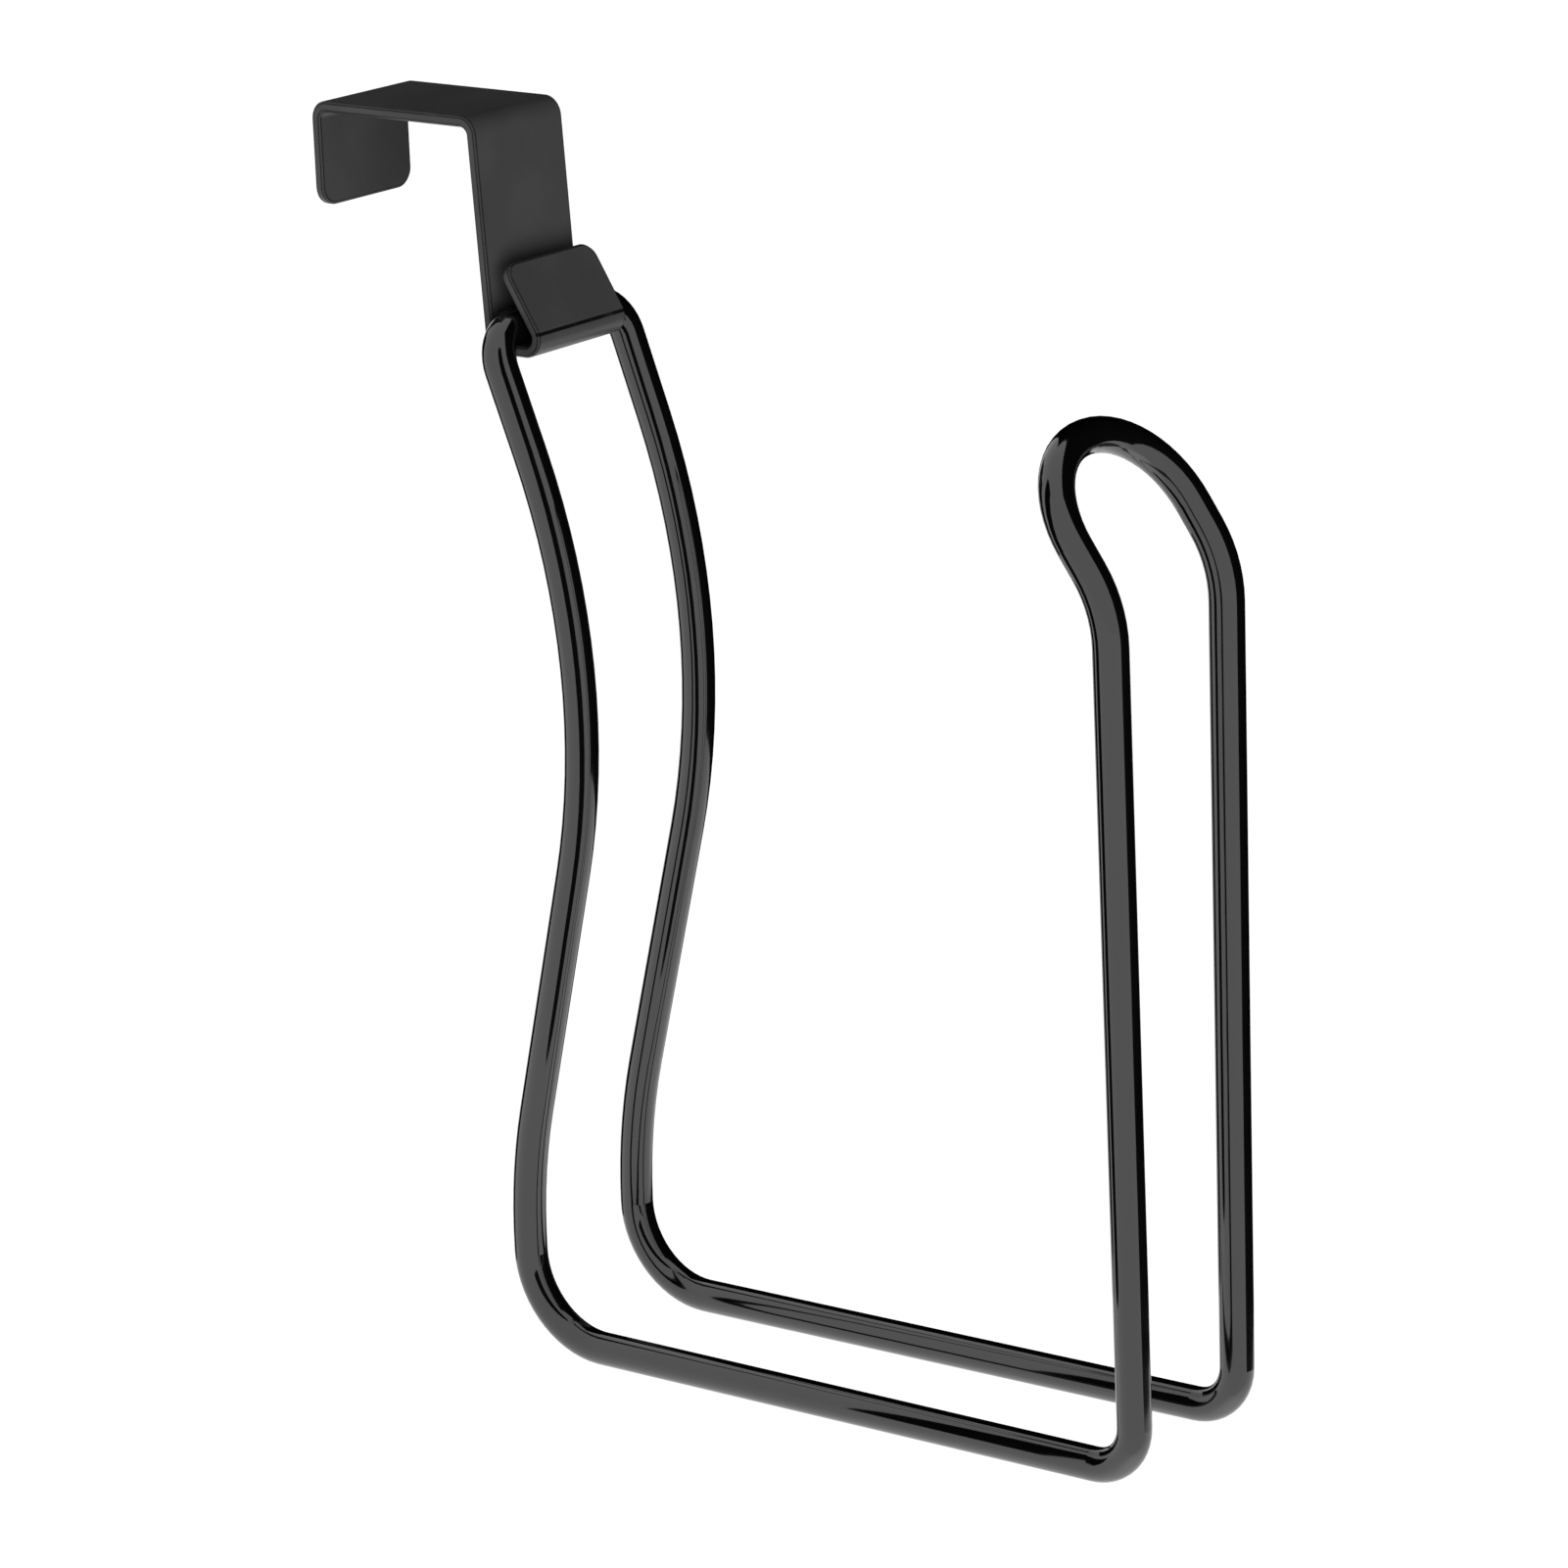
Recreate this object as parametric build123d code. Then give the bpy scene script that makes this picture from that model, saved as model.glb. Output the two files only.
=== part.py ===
from build123d import *
from math import cos, isclose, radians, sin, tan
import os

# Over-door towel rack: a bent flat strap that hangs on a door, and a bent wire frame that hangs in it.
# Millimetres. X runs along the door, -Y points out into the room, +Z is up.
# The origin is the middle of the seat, the strap's underside on the top of the door.
# A drop is measured down from the seat, and a reach is measured out from the door's front face.
# A rise is measured up from the heel or the hook's floor, and the nape's fall down from the loop.

# Strip that the strap is bent from
strap_width = 23.5
strap_thickness = 2.0
strip_edge_chamfer = 0.35

# Strap on the door
door_gap = 35.0
door_bend_radius = 1.5
back_leg_drop = 17.3
back_leg_splay = 0.8
back_leg_corner_radius = 3.5
front_leg_lean = 2.8

# Closing hook and its flap
hook_floor_drop = 37.9
hook_width = 8.9
hook_bend_radius = 1.7
flap_bend_rise = 2.5
flap_bend_radius = 0.4
flap_lean = 32.0
flap_length = 13.9
flap_corner_radius = 3.0

# Wire of the frame
wire_diameter = 6.1
crossbar_clearance = 0.3
side_clearance = 2.25
crossbar_bend_radius = 7.0
wire_end_gap = 1.0

# Spacing of the frame's two sides, centre to centre
heel_spacing = 29.9
toe_spacing = 30.7
loop_spacing = 33.8

# Corners of the frame in side view, each with the radius of its bend
knee_reach = 29.7
knee_drop = 93.4
knee_radius = 127.0
heel_drop = 225.4
heel_radius = 15.8
heel_top_rise = 31.1
heel_top_radius = 112.0
toe_reach = 139.6
toe_rise = 5.9
toe_radius = 9.0
loop_setback = 16.2
loop_drop = 43.2
loop_flat = 0.3
nape_fall = 23.0
nape_radius = 21.6

wire_radius = wire_diameter / 2
door_face = -door_gap / 2


def leg_face(drop):
    """Where the door side of the front leg lies at a drop: the leg leans out as it goes down."""
    return door_face - drop * tan(radians(front_leg_lean))


def level_thickness(lean):
    """The strip's thickness measured level, where the strip leans from upright."""
    return strap_thickness / cos(radians(lean))


# The crossbar lies just above the hook's floor, midway between the front leg and the flap's inner face.
crossbar_drop = hook_floor_drop - wire_radius - crossbar_clearance
leg_front = leg_face(crossbar_drop) - level_thickness(front_leg_lean)
flap_front = leg_front - hook_width - strap_thickness
crossbar_height = wire_radius + crossbar_clearance - flap_bend_rise
flap_back = flap_front + level_thickness(flap_lean) + crossbar_height * tan(radians(flap_lean))
crossbar_y = (leg_front + flap_back) / 2


def hanger_strap():
    """One strip, bent across its width: back leg, top plate, front leg, hook and flap."""
    hook_bottom = hook_floor_drop + strap_thickness
    back_leg_tip = (door_gap / 2 + back_leg_drop * tan(radians(back_leg_splay)), -back_leg_drop)
    flap_bend = (flap_front, flap_bend_rise - hook_floor_drop)
    flap_rise = (flap_length * sin(radians(flap_lean)), flap_length * cos(radians(flap_lean)))
    flap_tip = (flap_bend[0] + flap_rise[0], flap_bend[1] + flap_rise[1])
    # The line follows one face of the strip, from the inside of the back leg to the front of the flap.
    corners = [
        back_leg_tip,
        (door_gap / 2, 0),
        (door_face, 0),
        (leg_face(hook_bottom), -hook_bottom),
        (flap_front, -hook_bottom),
        flap_bend,
        flap_tip,
    ]
    radii = [
        door_bend_radius,
        door_bend_radius,
        hook_bend_radius + strap_thickness,
        hook_bend_radius + strap_thickness,
        flap_bend_radius + strap_thickness,
    ]
    with BuildSketch() as side_view:
        with BuildLine():
            FilletPolyline(*corners, radius=radii)
            offset(amount=strap_thickness, side=Side.RIGHT)
        make_face()
    strap = extrude(Plane.YZ * side_view.sketch, amount=strap_width / 2, both=True)

    # The flap's corners are rounded, then the back leg's, and then the whole rim of the strip is chamfered.
    strap = fillet(through_edges(strap).sort_by(Axis.Y)[:2], flap_corner_radius)
    strap = fillet(through_edges(strap).sort_by(Axis.Y)[-2:], back_leg_corner_radius)
    bend_lines = strap.edges().filter_by(lambda edge: isclose(edge.length, strap_width))
    rim = strap.edges() - bend_lines - through_edges(strap)
    return chamfer(rim, strip_edge_chamfer)


def through_edges(strap):
    """Straight edges that run through the strip's thickness, at the corners of its ends."""
    straight = strap.edges().filter_by(GeomType.LINE)
    return straight.filter_by(lambda edge: isclose(edge.length, strap_thickness))


def on_taper(drop, upper, lower):
    """The spacing at a drop, on a straight taper between an upper and a lower pair of drop and spacing."""
    share = (drop - upper[0]) / (lower[0] - upper[0])
    return upper[1] + share * (lower[1] - upper[1])


def wire_frame():
    """One round wire, from end to end: crossbar, side, loop, side and crossbar again."""
    # Each corner's drop, and the spacing of the two sides there
    crossbar = (crossbar_drop, strap_width + 2 * side_clearance + wire_diameter)
    heel = (heel_drop, heel_spacing)
    knee = (knee_drop, on_taper(knee_drop, crossbar, heel))
    heel_top = (heel_drop - heel_top_rise, on_taper(heel_drop - heel_top_rise, crossbar, heel))
    toe = (heel_drop - toe_rise, toe_spacing)
    loop = (loop_drop, loop_spacing)
    nape = (loop_drop + nape_fall, on_taper(loop_drop + nape_fall, loop, toe))
    # The heel stands against the door's front face.
    heel_y = door_face - wire_radius
    toe_y = door_face - toe_reach
    side_corners = [
        (crossbar, crossbar_y, crossbar_bend_radius),
        (knee, door_face - knee_reach, knee_radius),
        (heel_top, heel_y, heel_top_radius),
        (heel, heel_y, heel_radius),
        (toe, toe_y, toe_radius),
        (nape, toe_y, nape_radius),
        (loop, toe_y + loop_setback, loop_spacing / 2 - loop_flat),
    ]
    near_side = [(-spacing / 2, y, -drop) for (drop, spacing), y, radius in side_corners]
    far_side = [(-x, y, z) for x, y, z in reversed(near_side)]
    near_end = (-wire_end_gap / 2, crossbar_y, -crossbar_drop)
    far_end = (wire_end_gap / 2, crossbar_y, -crossbar_drop)
    radii = [radius for place, y, radius in side_corners]
    path = FilletPolyline(near_end, *near_side, *far_side, far_end, radius=radii + radii[::-1])
    section = Plane(origin=path @ 0, z_dir=path % 0) * Circle(wire_radius)
    return sweep(section, path=path)


os.makedirs("parts", exist_ok=True)
export_step(hanger_strap(), "parts/hanger_strap.step")
export_step(wire_frame(), "parts/wire_frame.step")
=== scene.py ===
from math import cos, radians, sin, tan

import bpy
from mathutils import Euler, Matrix, Vector

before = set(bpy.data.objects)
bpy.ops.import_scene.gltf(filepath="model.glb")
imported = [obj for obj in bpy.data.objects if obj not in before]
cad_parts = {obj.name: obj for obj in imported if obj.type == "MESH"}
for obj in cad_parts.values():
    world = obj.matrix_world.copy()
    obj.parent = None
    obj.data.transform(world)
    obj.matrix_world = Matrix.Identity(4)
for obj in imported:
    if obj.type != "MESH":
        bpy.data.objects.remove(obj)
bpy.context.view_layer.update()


# Hanger strap: one steel strip 23.5 mm wide and 2 mm thick, bent cold to hang over a door and closed into a hook.
# It is powder coated satin black, with a fine orange peel. Dark lines of painted shade, near black and metallic,
# run along the rim and the fold at the foot of the flap, and the coat is scuffed pale underneath, where the strap
# sits on the door.
class Socket:
    """A shader socket that adds its own Math nodes when it is used in an expression."""

    def __init__(self, nodes, socket):
        self.nodes = nodes
        self.socket = socket

    def math(self, operation, first, second):
        """A Math node on two sockets or numbers."""
        return self.nodes.add("ShaderNodeMath", {"operation": operation}, {0: first, 1: second})

    def __add__(self, other):
        return self.math("ADD", self, other)

    def __sub__(self, other):
        return self.math("SUBTRACT", self, other)

    def __rsub__(self, other):
        return self.math("SUBTRACT", other, self)

    def __mul__(self, other):
        return self.math("MULTIPLY", self, other)

    def __or__(self, other):
        """The stronger of two masks."""
        return self.math("MAXIMUM", self, other)

    __radd__ = __add__
    __rmul__ = __mul__
    __ror__ = __or__


class Nodes:
    """The nodes of one material or of the world, with the shader that they feed."""

    def __init__(self, owner, shader="Principled BSDF"):
        owner.use_nodes = True
        self.tree = owner.node_tree
        self.shader = self.tree.nodes[shader]

    def add(self, kind, settings=None, inputs=None, output=0):
        """Adds a node, sets it up, feeds its sockets, and gives one of its outputs."""
        node = self.tree.nodes.new(kind)
        for name, value in (settings or {}).items():
            setattr(node, name, value)
        self.feed(node, inputs or {})
        return Socket(self, node.outputs[output])

    def feed(self, node, inputs):
        """Links a socket to each input that is given one, and sets the others to their values."""
        for name, value in inputs.items():
            if isinstance(value, Socket):
                self.tree.links.new(value.socket, node.inputs[name])
            else:
                node.inputs[name].default_value = value

    def shade(self, **inputs):
        """Feeds the shader. A socket's name has _ for each space."""
        self.feed(self.shader, {name.replace("_", " "): value for name, value in inputs.items()})

    def noise(self, place, size, detail=2.0):
        """Noise from 0 to 1 around 0.5, whose spots are about this many metres wide."""
        return self.add("ShaderNodeTexNoise", {}, {"Vector": place, "Scale": 1 / size, "Detail": detail})

    def ramp(self, value, start, end):
        """Goes smoothly from 0 at the start to 1 at the end, which may be the lower of the two."""
        edges = {"Value": value, "From Min": start, "From Max": end}
        return self.add("ShaderNodeMapRange", {"interpolation_type": "SMOOTHSTEP"}, edges)

    def blend(self, share, first, second):
        """Goes from one colour to another with the share. Sockets 6 and 7 take colours, and output 2 gives one."""
        return self.add("ShaderNodeMix", {"data_type": "RGBA"}, {0: share, 6: first, 7: second}, output=2)

    def bump(self, height, depth, under=None):
        """A relief this many metres deep, on top of another one where it is given."""
        relief = {"Height": height, "Distance": depth}
        if under:
            relief["Normal"] = under
        return self.add("ShaderNodeBump", {}, relief)


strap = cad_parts["hanger_strap"]
powder_coat = bpy.data.materials.new("satin_powder_coat")
coat = Nodes(powder_coat)
powder_black = (0.035, 0.035, 0.036, 1)
powder_dusty = (0.041, 0.041, 0.042, 1)
powder_scuffed = (0.075, 0.074, 0.073, 1)
# Painted shade: the near-black colour of the dark lines along the rim and the fold.
painted_shade_black = (0.006, 0.006, 0.006, 1)
satin_roughness = 0.32
cloud_size = 0.012
speck_size = 0.00025
speck_depth = 0.000004
peel_size = 0.0009
peel_depth = 0.000018
patch_size = 0.003
# Strength of both the painted shade on the fold and the real scuffs on the seat.
shade_and_scuff_strength = 0.8
rim_width = 0.0005
fold_height = -0.0354
fold_reach = -0.0312
fold_line = 0.0002
seat_start = -0.001
seat_full = -0.0003
place = coat.add("ShaderNodeTexCoord", output="Object")
face = coat.add("ShaderNodeNewGeometry", output="Normal")
rounded = coat.add("ShaderNodeBevel", {"samples": 6}, {"Radius": rim_width})
straight = coat.add("ShaderNodeVectorMath", {"operation": "DOT_PRODUCT"}, {0: face, 1: rounded}, "Value")
reach = coat.add("ShaderNodeSeparateXYZ", {}, {"Vector": place}, "Y")
height = coat.add("ShaderNodeSeparateXYZ", {}, {"Vector": place}, "Z")
upward = coat.add("ShaderNodeSeparateXYZ", {}, {"Vector": face}, "Z")
clouds = coat.noise(place, cloud_size, detail=3.0)
specks = coat.noise(place, speck_size)
peel = coat.noise(place, peel_size)
patches = coat.noise(place, patch_size, detail=4.0)

# Painted shade: dark lines where the strap bends round the rim, and on a line along the front of the fold.
rim_shade = coat.ramp(1 - straight, 0.002, 0.015)
above = coat.ramp(height, fold_height - 2 * fold_line, fold_height - fold_line)
below = coat.ramp(height, fold_height + 2 * fold_line, fold_height + fold_line)
in_front = coat.ramp(reach, fold_reach, fold_reach - fold_line)
fold_shade = above * below * in_front * shade_and_scuff_strength
# The painted shade lines are broken up in patches, and made near black and metallic so that they mirror little
# light.
painted_shade_lines = (rim_shade | fold_shade) * coat.ramp(patches, 0.1, 0.45)

# It is scuffed on the seat, the one face that looks down at the height of the door's top.
seat = coat.ramp(upward, -0.8, -0.95) * coat.ramp(height, seat_start, seat_full)
scuffed = seat * coat.ramp(patches, 0.45, 0.6) * shade_and_scuff_strength
powder = coat.blend(coat.ramp(clouds, 0.3, 0.7), powder_black, powder_dusty)
coat.shade(
    Base_Color=coat.blend(painted_shade_lines, coat.blend(scuffed, powder, powder_scuffed), painted_shade_black),
    Roughness=satin_roughness + clouds * 0.05 + specks * 0.07 - scuffed * 0.1,
    Metallic=painted_shade_lines * 0.95,
    Specular_IOR_Level=0.25,
    Normal=coat.bump(specks, speck_depth, coat.bump(peel, peel_depth)),
)
strap.data.materials.clear()
strap.data.materials.append(powder_coat)

# Wire frame: one steel wire 6 mm thick, bent to shape and hung by its crossbar in the strap's hook.
# It is dip coated in gloss black, which leaves the coat thick, smooth and slightly uneven along the wire.
# The coat is rubbed matt where the heel of the frame rests against the door.
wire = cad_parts["wire_frame"]
gloss_coat = bpy.data.materials.new("gloss_dip_coat")
gloss = Nodes(gloss_coat)
dip_black = (0.0012, 0.0012, 0.0013, 1)
dip_deep = (0.0022, 0.0022, 0.0024, 1)
dip_rubbed = (0.02, 0.02, 0.02, 1)
gloss_roughness = 0.05
run_size = 0.014
run_depth = 0.00009
skin_size = 0.0016
skin_depth = 0.0000012
grain_size = 0.0004
door_side = -0.0175
rub_start = 0.0006
rub_full = 0.0001
heel_top = -0.16
heel_fade = 0.015
place = gloss.add("ShaderNodeTexCoord", output="Object")
reach = gloss.add("ShaderNodeSeparateXYZ", {}, {"Vector": place}, "Y")
height = gloss.add("ShaderNodeSeparateXYZ", {}, {"Vector": place}, "Z")
runs = gloss.noise(place, run_size, detail=1.0)
skin = gloss.noise(place, skin_size)
grain = gloss.noise(place, grain_size)
heel = gloss.ramp(height, heel_top, heel_top - heel_fade)
touching = gloss.ramp(reach, door_side - rub_start, door_side - rub_full)
rubbed = heel * touching * gloss.ramp(grain, 0.3, 0.6)
gloss.shade(
    Base_Color=gloss.blend(rubbed, gloss.blend(runs, dip_black, dip_deep), dip_rubbed),
    Roughness=gloss_roughness + runs * 0.03 + grain * 0.02 + rubbed * 0.3,
    Specular_IOR_Level=0.95,
    Normal=gloss.bump(skin, skin_depth, gloss.bump(runs, run_depth)),
)
wire.data.materials.clear()
wire.data.materials.append(gloss_coat)

# Camera: it looks from the room at the near side of the rack, slightly from above, with a long lens.
# It turns about the target, and its offset from there is to its own right, up and back.
camera_azimuth = -50.5
camera_elevation = 17.2
camera_roll = -2.5
camera_lens = 126.62
camera_target = Vector((0, -0.04, -0.11))
camera_offset = Vector((0.02623, -0.009, 0.9898))
camera_data = bpy.data.cameras.new("camera")
camera_data.sensor_width = 36
camera_data.lens = camera_lens
camera = bpy.data.objects.new("camera", camera_data)
bpy.context.scene.collection.objects.link(camera)
turn = Euler((radians(90 - camera_elevation), 0, radians(camera_azimuth))).to_matrix()
turn = turn @ Matrix.Rotation(radians(camera_roll), 3, "Z")
camera.matrix_world = Matrix.Translation(camera_target + turn @ camera_offset) @ turn.to_4x4()
bpy.context.scene.camera = camera


# Floor: a wide pale studio floor, far below the hanging rack. It takes the rack's shadow, and glows a little
# where it is seen or mirrored, so that it reads as white under plain light.
def seen_or_mirrored(nodes):
    """1 for rays from the camera, in a mirror or through glass, and 0 for the light that falls on things."""
    seen = nodes.add("ShaderNodeLightPath", output="Is Camera Ray")
    mirrored = nodes.add("ShaderNodeLightPath", output="Is Glossy Ray")
    passed = nodes.add("ShaderNodeLightPath", output="Is Transmission Ray")
    return seen | mirrored | passed


floor_size = 40
floor_drop = 1.6
floor_glow = 0.66
bpy.ops.mesh.primitive_plane_add(size=floor_size, location=(0, 0, -floor_drop))
floor = bpy.context.object
floor.name = "floor"
floor_paint = bpy.data.materials.new("pale_floor")
paint = Nodes(floor_paint)
paint.shade(
    Base_Color=(0.95, 0.95, 0.95, 1),
    Roughness=0.9,
    Specular_IOR_Level=0.1,
    Emission_Color=(1, 1, 1, 1),
    Emission_Strength=seen_or_mirrored(paint) * floor_glow,
)
floor.data.materials.append(floor_paint)

# Surround: an even white room. It is at full strength where it is seen or mirrored, and weaker as a light,
# so that the background is white while the black coats keep their depth.
light_level = 0.38
world = bpy.data.worlds.new("surround")
bpy.context.scene.world = world
room = Nodes(world, "Background")
room.shade(Color=(1, 1, 1, 1), Strength=light_level + seen_or_mirrored(room) * (1 - light_level))
bpy.context.scene.view_settings.view_transform = "Standard"

# Lamp: one wide softbox a little below the height of the rack, just right of the camera.
# It is kept out of the gloss, which mirrors only the white room and the black cloth in it.
middle = Vector((0, -0.08, -0.11))
softbox_way = Vector((-0.9, -1.1, -0.25))
softbox = bpy.data.lights.new("softbox", "AREA")
softbox.shape = "SQUARE"
softbox.size = 1.2
softbox.energy = 34
stand = bpy.data.objects.new("softbox", softbox)
stand.location = middle + softbox_way
stand.rotation_euler = (-softbox_way).to_track_quat("-Z", "Y").to_euler()
stand.visible_glossy = False
bpy.context.scene.collection.objects.link(stand)


# Curtains: black cloth that only the gloss mirrors, to draw the dark lines along the glossy wire. As the camera
# sees it, one hangs round the right of the rack and one behind it on the left, and a narrow roll stands close
# to the rack on the camera's side.
def curtain(name, centre, distance, start, end, bottom, top):
    """An upright black sheet on an arc around a point, between two directions in degrees from +X."""
    strips = 24
    corners = []
    for step in range(strips + 1):
        angle = radians(start + (end - start) * step / strips)
        x = centre[0] + distance * cos(angle)
        y = centre[1] + distance * sin(angle)
        corners += [(x, y, bottom), (x, y, top)]
    faces = [(2 * step, 2 * step + 2, 2 * step + 3, 2 * step + 1) for step in range(strips)]
    sheet = bpy.data.meshes.new(name)
    sheet.from_pydata(corners, [], faces)
    cloth = bpy.data.materials.new(name)
    Nodes(cloth).shade(Base_Color=(0, 0, 0, 1), Roughness=1.0, Specular_IOR_Level=0.0)
    sheet.materials.append(cloth)
    hung = bpy.data.objects.new(name, sheet)
    bpy.context.scene.collection.objects.link(hung)
    hung.visible_camera = False
    hung.visible_shadow = False
    hung.visible_diffuse = False


curtain_distance = 1.1
curtain_foot_angle = 27
curtain_foot = middle[2] - curtain_distance * tan(radians(curtain_foot_angle))
roll_centre = (-0.065, -0.084)
roll_radius = 0.019
curtain("right_curtain", middle, curtain_distance, start=-80, end=55, bottom=curtain_foot, top=2.0)
curtain("far_curtain", middle, curtain_distance, start=69, end=98, bottom=curtain_foot, top=0.3)
curtain("near_roll", roll_centre, roll_radius, start=0, end=360, bottom=-0.217, top=0.03)
